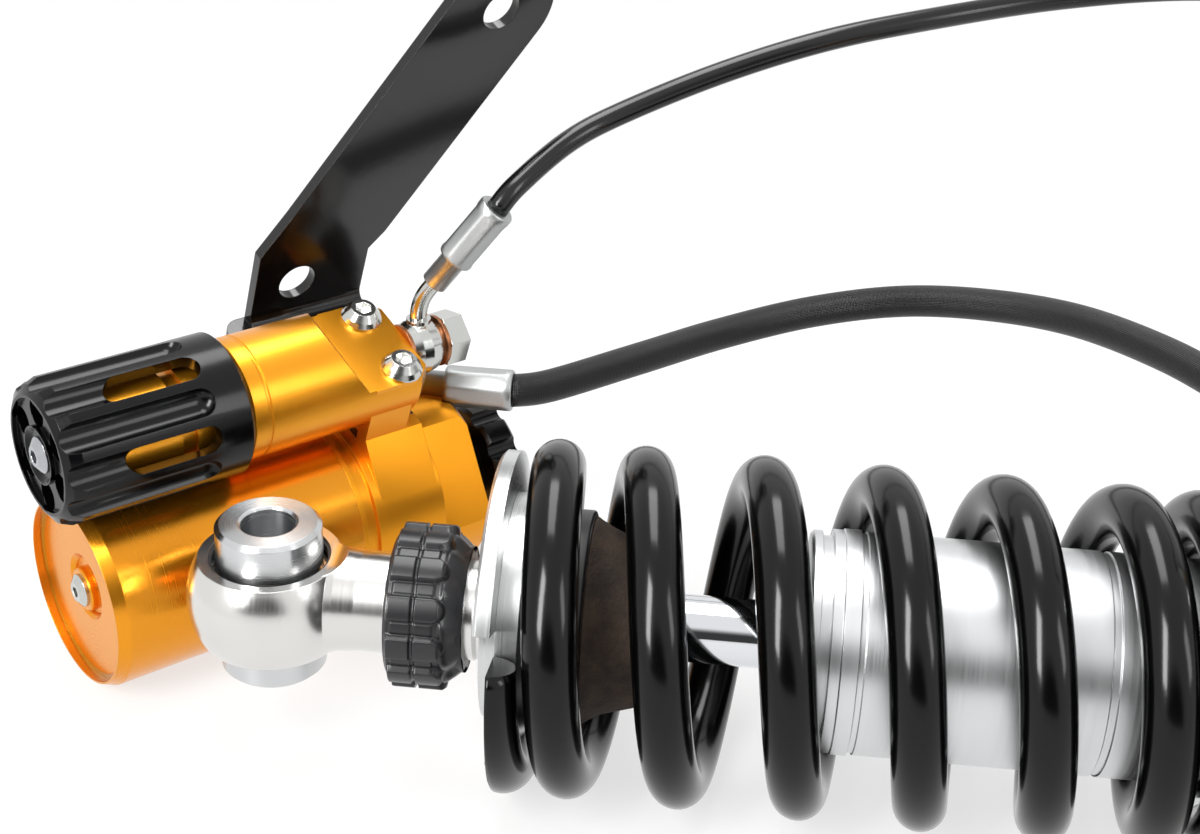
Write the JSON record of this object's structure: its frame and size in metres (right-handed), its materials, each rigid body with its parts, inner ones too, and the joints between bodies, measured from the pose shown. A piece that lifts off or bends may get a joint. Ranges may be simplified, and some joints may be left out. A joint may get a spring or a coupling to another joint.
{
  "type": "motorcycle rear shock absorber",
  "caption": "Coil-over motorcycle rear shock absorber with a hose-fed gas reservoir, a hydraulic spring preload adjuster clamped to it and a mounting bracket.",
  "frame": {"origin": "centre of the lower eye's bore", "axes": "+X along the shock's axis towards the upper eye, +Z along the eyes' bores, up from the table the part lies on, +Y towards the reservoir's side"},
  "size_m": [0.4084, 0.2031, 0.1722],
  "materials": {
    "gold_anodised": "satin gold anodised",
    "black_anodised": "satin black anodised",
    "clear_anodised": "satin clear anodised",
    "turned_aluminium": "bright turned",
    "spring_black": "gloss powder coat",
    "hard_chrome": "ground and polished",
    "zinc_steel": "bright zinc plate",
    "bearing_steel": "ground",
    "moulded_rubber": "matt moulded",
    "brown_foam": "matt closed-cell foam",
    "bronze": "turned",
    "copper": "soft copper washer",
    "black_paint": "gloss black",
    "hose_plastic": "smooth extruded cover",
    "hose_rubber": "fabric-marked cover"
  },
  "bodies": {
    "damper": {"seal_head": "clear_anodised", "shaft_seal": "moulded_rubber", "dust_scraper": "moulded_rubber", "damper_tube": "clear_anodised", "spring": "spring_black", "preload_collar": "gold_anodised", "damper_head": "clear_anodised", "upper_bearing_race": "bearing_steel", "upper_circlips": "zinc_steel", "upper_eye_seals": "moulded_rubber", "reservoir_tube": "gold_anodised", "reservoir_end_cap": "gold_anodised", "reservoir_snap_ring": "zinc_steel", "fill_screw": "zinc_steel", "reservoir_head": "gold_anodised", "preload_body": "gold_anodised", "spindle_gland": "bronze", "clamp_screws": "zinc_steel", "mount_bracket": "black_paint", "banjo_bolts": "zinc_steel", "banjo_washers": "copper", "preload_banjo": "zinc_steel", "reservoir_banjo": "zinc_steel", "hose_ferrules": "zinc_steel", "preload_hose": "hose_plastic", "reservoir_hose": "hose_rubber"},
    "lower_end": {"lower_eye": "turned_aluminium", "lower_bearing_race": "bearing_steel", "lower_circlips": "zinc_steel", "lower_eye_seals": "moulded_rubber", "damper_shaft": "hard_chrome", "piston": "turned_aluminium", "piston_band": "bronze", "rebound_shims": "bearing_steel", "compression_shims": "bearing_steel", "piston_nut": "zinc_steel", "lower_spring_seat": "clear_anodised", "bump_stop_cup": "black_anodised", "bump_stop": "brown_foam"},
    "rebound_adjuster": {"rebound_knob": "moulded_rubber", "rebound_knob_core": "black_anodised"},
    "rebound_needle": {"rebound_rod": "turned_aluminium", "rebound_cross_pin": "bearing_steel"},
    "lower_ball": {"lower_bearing_ball": "hard_chrome"},
    "lower_spacers": {"lower_spacer_top": "turned_aluminium", "lower_spacer_bottom": "turned_aluminium"},
    "upper_ball": {"upper_bearing_ball": "hard_chrome"},
    "upper_spacers": {"upper_spacer_top": "turned_aluminium", "upper_spacer_bottom": "turned_aluminium"},
    "gas_piston": {"floating_piston": "turned_aluminium", "floating_piston_band": "moulded_rubber"},
    "preload_ring": {"upper_spring_seat": "turned_aluminium", "collar_seals": "moulded_rubber"},
    "preload_handle": {"preload_knob": "black_anodised", "preload_knob_screw": "zinc_steel", "preload_spindle": "bearing_steel"},
    "preload_plunger": {"preload_piston": "turned_aluminium"},
    "compression_adjuster": {"compression_knob": "black_anodised"},
    "compression_valve": {"compression_needle": "bearing_steel"}
  },
  "joints": [
    {"name": "shaft_slide", "type": "slide", "parent": "damper", "child": "lower_end", "axis": [1, 0, 0], "range_m": [0, 0.045], "stiffness_N_per_m": 100000, "springref_m": -0.004, "deforming": ["spring", "bump_stop"]},
    {"name": "gas_piston_slide", "type": "slide", "parent": "damper", "child": "gas_piston", "axis": [-0.7193, -0.6947, 0], "range_m": [0, 0.006]},
    {"name": "rebound_knob_turn", "type": "hinge", "parent": "lower_end", "child": "rebound_adjuster", "pos_m": [0.039, 0, 0], "axis": [1, 0, 0], "range_deg": [-720, 720]},
    {"name": "rebound_needle_slide", "type": "slide", "parent": "lower_end", "child": "rebound_needle", "axis": [1, 0, 0], "range_m": [-0.002, 0.002]},
    {"name": "lower_eye_tilt", "type": "hinge", "parent": "lower_end", "child": "lower_ball", "pos_m": [0, 0, 0], "axis": [1, 0, 0], "range_deg": [-5, 5]},
    {"name": "lower_eye_turn", "type": "hinge", "parent": "lower_ball", "child": "lower_spacers", "pos_m": [0, 0, 0], "axis": [0, 0, 1], "continuous": true},
    {"name": "upper_eye_tilt", "type": "hinge", "parent": "damper", "child": "upper_ball", "pos_m": [0.318, 0, 0], "axis": [1, 0, 0], "range_deg": [-5, 5]},
    {"name": "upper_eye_turn", "type": "hinge", "parent": "upper_ball", "child": "upper_spacers", "pos_m": [0.318, 0, 0], "axis": [0, 0, 1], "continuous": true},
    {"name": "preload_knob_turn", "type": "hinge", "parent": "damper", "child": "preload_handle", "pos_m": [-0.05169, 0.01246, 0.02805], "axis": [0.7193, 0.6947, 0], "range_deg": [0, 1800]},
    {"name": "preload_plunger_slide", "type": "slide", "parent": "damper", "child": "preload_plunger", "axis": [0.7193, 0.6947, 0], "range_m": [0, 0.0091]},
    {"name": "preload_ring_slide", "type": "slide", "parent": "damper", "child": "preload_ring", "axis": [-1, 0, 0], "range_m": [0, 0.0024], "deforming": ["spring"]},
    {"name": "compression_knob_turn", "type": "hinge", "parent": "damper", "child": "compression_adjuster", "pos_m": [0.02794, 0.09698, -0.01625], "axis": [0.7193, 0.6947, 0], "range_deg": [-360, 360]},
    {"name": "compression_valve_slide", "type": "slide", "parent": "damper", "child": "compression_valve", "axis": [0.7193, 0.6947, 0], "range_m": [-0.0005, 0.0005]}
  ],
  "couplings": [
    {"joint": "gas_piston_slide", "follows": "shaft_slide", "ratio": 0.12098},
    {"joint": "rebound_needle_slide", "follows": "rebound_knob_turn", "m_per_rad": 0.00015915},
    {"joint": "preload_plunger_slide", "follows": "preload_knob_turn", "m_per_rad": 0.00028648},
    {"joint": "preload_ring_slide", "follows": "preload_knob_turn", "m_per_rad": 0.000072343},
    {"joint": "compression_valve_slide", "follows": "compression_knob_turn", "m_per_rad": 0.000079577}
  ]
}
